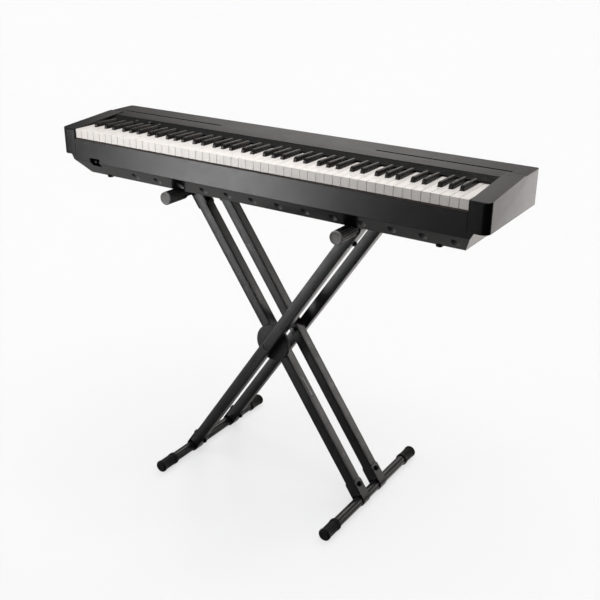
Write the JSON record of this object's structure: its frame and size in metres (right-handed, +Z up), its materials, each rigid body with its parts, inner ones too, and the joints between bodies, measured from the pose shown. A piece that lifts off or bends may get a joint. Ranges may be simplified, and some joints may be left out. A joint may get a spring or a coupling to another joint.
{
  "type": "digital piano on stand",
  "caption": "Slab digital piano with a full-length keyboard, resting on the rubber grips of a folding X stand with doubled square legs and two round feet.",
  "frame": {"origin": "on the floor, under the middle of the stand, which is also the middle of the bounding box", "axes": "+X along the keyboard to the player's right, +Y away from the player, +Z up"},
  "size_m": [1.326, 0.515, 1.0266],
  "materials": {
    "stand_steel": "satin black powder coat",
    "stand_rubber": "matte",
    "grip_rubber": "matte, ribbed",
    "zinc": "dark zinc",
    "lining": "friction lining",
    "label_white": "blank printed film",
    "case_black": "satin, fine grain",
    "panel_gloss": "gloss",
    "control_grey": "satin",
    "felt": "felt",
    "key_white": "semi gloss",
    "key_black": "matte with fine grain",
    "grille_cloth": "woven cloth",
    "board": "solder mask",
    "bare_steel": "plated"
  },
  "bodies": {
    "left_foot": {"left_foot_caps": "stand_rubber"},
    "outer_frame": {"left_foot_tube": "stand_steel", "outer_leg_front": "stand_steel", "outer_leg_rear": "stand_steel", "outer_brackets": "stand_steel", "outer_leg_bolts": "zinc", "right_arm_tube": "stand_steel", "right_arm_grips": "grip_rubber", "outer_clutch_disc": "stand_steel", "pivot_bolts": "zinc", "pivot_spacer": "stand_steel"},
    "inner_frame": {"right_foot_caps": "stand_rubber", "right_foot_tube": "stand_steel", "inner_leg_front": "stand_steel", "inner_leg_rear": "stand_steel", "inner_brackets": "stand_steel", "inner_leg_bolts": "zinc", "left_arm_tube": "stand_steel", "left_arm_grips": "grip_rubber", "inner_clutch_disc": "stand_steel", "clutch_lining": "lining", "blank_label": "label_white"},
    "release": {"release_button": "control_grey"},
    "piano": {"lower_case": "case_black", "case_screws": "zinc", "piano_feet": "stand_rubber", "front_panel": "case_black", "key_felt": "felt", "end_block_left": "case_black", "end_block_right": "case_black", "top_panel": "case_black", "control_panel": "panel_gloss", "rear_panel": "case_black", "speakers": "bare_steel", "speaker_grilles": "grille_cloth", "key_bed": "bare_steel", "key_rod": "bare_steel", "main_board": "board", "rear_jacks": "case_black", "headphone_jacks": "case_black"},
    "power": {"power_button": "control_grey"},
    "function": {"function_button": "control_grey"},
    "volume": {"volume_slider": "control_grey"},
    "bass_keys": {"bass_white_keys": "key_white", "bass_black_keys": "key_black"},
    "treble_keys": {"treble_white_keys": "key_white", "treble_black_keys": "key_black"},
    "key_c4_lever": {"key_c4": "key_white"},
    "key_d4_lever": {"key_d4": "key_white"},
    "key_e4_lever": {"key_e4": "key_white"},
    "key_f4_lever": {"key_f4": "key_white"},
    "key_g4_lever": {"key_g4": "key_white"},
    "key_a4_lever": {"key_a4": "key_white"},
    "key_b4_lever": {"key_b4": "key_white"},
    "key_c4_sharp_lever": {"key_c4_sharp": "key_black"},
    "key_d4_sharp_lever": {"key_d4_sharp": "key_black"},
    "key_f4_sharp_lever": {"key_f4_sharp": "key_black"},
    "key_g4_sharp_lever": {"key_g4_sharp": "key_black"},
    "key_a4_sharp_lever": {"key_a4_sharp": "key_black"}
  },
  "joints": [
    {"name": "stand_fold", "type": "hinge", "parent": "left_foot", "child": "outer_frame", "pos_m": [-0.29621, 0, 0.018], "axis": [0, 1, 0], "range_deg": [-30, 15]},
    {"name": "stand_scissor", "type": "hinge", "parent": "outer_frame", "child": "inner_frame", "pos_m": [0, 0, 0.45061], "axis": [0, 1, 0], "range_deg": [-31, 61]},
    {"name": "piano_lift", "type": "slide", "parent": "left_foot", "child": "piano", "axis": [-0.6007, 0, 0.7994], "range_m": [-0.195, 0.385]},
    {"name": "release_press", "type": "slide", "parent": "outer_frame", "child": "release", "axis": [0, 1, 0], "range_m": [0, 0.005], "stiffness_N_per_m": 1500, "springref_m": -0.004},
    {"name": "power_press", "type": "slide", "parent": "piano", "child": "power", "axis": [0, 0.244, -0.9698], "range_m": [0, 0.0009], "stiffness_N_per_m": 800, "springref_m": -0.001},
    {"name": "function_press", "type": "slide", "parent": "piano", "child": "function", "axis": [0, 0.244, -0.9698], "range_m": [0, 0.0009], "stiffness_N_per_m": 800, "springref_m": -0.001},
    {"name": "volume_slide", "type": "slide", "parent": "piano", "child": "volume", "axis": [1, 0, 0], "range_m": [-0.0155, 0.0155]},
    {"name": "bass_keys_press", "type": "hinge", "parent": "piano", "child": "bass_keys", "pos_m": [0, 0.0342, 1.00369], "axis": [1, 0, 0], "range_deg": [0, 2.6], "stiffness_Nm_per_rad": 39, "springref_deg": -8.59},
    {"name": "treble_keys_press", "type": "hinge", "parent": "piano", "child": "treble_keys", "pos_m": [0, 0.0342, 1.00369], "axis": [1, 0, 0], "range_deg": [0, 2.6], "stiffness_Nm_per_rad": 37, "springref_deg": -8.59},
    {"name": "key_c4_press", "type": "hinge", "parent": "piano", "child": "key_c4_lever", "pos_m": [0, 0.0342, 1.00369], "axis": [1, 0, 0], "range_deg": [0, 2.6], "stiffness_Nm_per_rad": 1, "springref_deg": -8.59},
    {"name": "key_d4_press", "type": "hinge", "parent": "piano", "child": "key_d4_lever", "pos_m": [0, 0.0342, 1.00369], "axis": [1, 0, 0], "range_deg": [0, 2.6], "stiffness_Nm_per_rad": 1, "springref_deg": -8.59},
    {"name": "key_e4_press", "type": "hinge", "parent": "piano", "child": "key_e4_lever", "pos_m": [0, 0.0342, 1.00369], "axis": [1, 0, 0], "range_deg": [0, 2.6], "stiffness_Nm_per_rad": 1, "springref_deg": -8.59},
    {"name": "key_f4_press", "type": "hinge", "parent": "piano", "child": "key_f4_lever", "pos_m": [0, 0.0342, 1.00369], "axis": [1, 0, 0], "range_deg": [0, 2.6], "stiffness_Nm_per_rad": 1, "springref_deg": -8.59},
    {"name": "key_g4_press", "type": "hinge", "parent": "piano", "child": "key_g4_lever", "pos_m": [0, 0.0342, 1.00369], "axis": [1, 0, 0], "range_deg": [0, 2.6], "stiffness_Nm_per_rad": 1, "springref_deg": -8.59},
    {"name": "key_a4_press", "type": "hinge", "parent": "piano", "child": "key_a4_lever", "pos_m": [0, 0.0342, 1.00369], "axis": [1, 0, 0], "range_deg": [0, 2.6], "stiffness_Nm_per_rad": 1, "springref_deg": -8.59},
    {"name": "key_b4_press", "type": "hinge", "parent": "piano", "child": "key_b4_lever", "pos_m": [0, 0.0342, 1.00369], "axis": [1, 0, 0], "range_deg": [0, 2.6], "stiffness_Nm_per_rad": 1, "springref_deg": -8.59},
    {"name": "key_c4_sharp_press", "type": "hinge", "parent": "piano", "child": "key_c4_sharp_lever", "pos_m": [0, 0.0342, 1.00369], "axis": [1, 0, 0], "range_deg": [0, 2.6], "stiffness_Nm_per_rad": 1, "springref_deg": -8.59},
    {"name": "key_d4_sharp_press", "type": "hinge", "parent": "piano", "child": "key_d4_sharp_lever", "pos_m": [0, 0.0342, 1.00369], "axis": [1, 0, 0], "range_deg": [0, 2.6], "stiffness_Nm_per_rad": 1, "springref_deg": -8.59},
    {"name": "key_f4_sharp_press", "type": "hinge", "parent": "piano", "child": "key_f4_sharp_lever", "pos_m": [0, 0.0342, 1.00369], "axis": [1, 0, 0], "range_deg": [0, 2.6], "stiffness_Nm_per_rad": 1, "springref_deg": -8.59},
    {"name": "key_g4_sharp_press", "type": "hinge", "parent": "piano", "child": "key_g4_sharp_lever", "pos_m": [0, 0.0342, 1.00369], "axis": [1, 0, 0], "range_deg": [0, 2.6], "stiffness_Nm_per_rad": 1, "springref_deg": -8.59},
    {"name": "key_a4_sharp_press", "type": "hinge", "parent": "piano", "child": "key_a4_sharp_lever", "pos_m": [0, 0.0342, 1.00369], "axis": [1, 0, 0], "range_deg": [0, 2.6], "stiffness_Nm_per_rad": 1, "springref_deg": -8.59}
  ],
  "couplings": [
    {"joint": "stand_scissor", "follows": "stand_fold", "ratio": -2},
    {"joint": "piano_lift", "follows": "stand_fold", "m_per_rad": -0.72013}
  ]
}
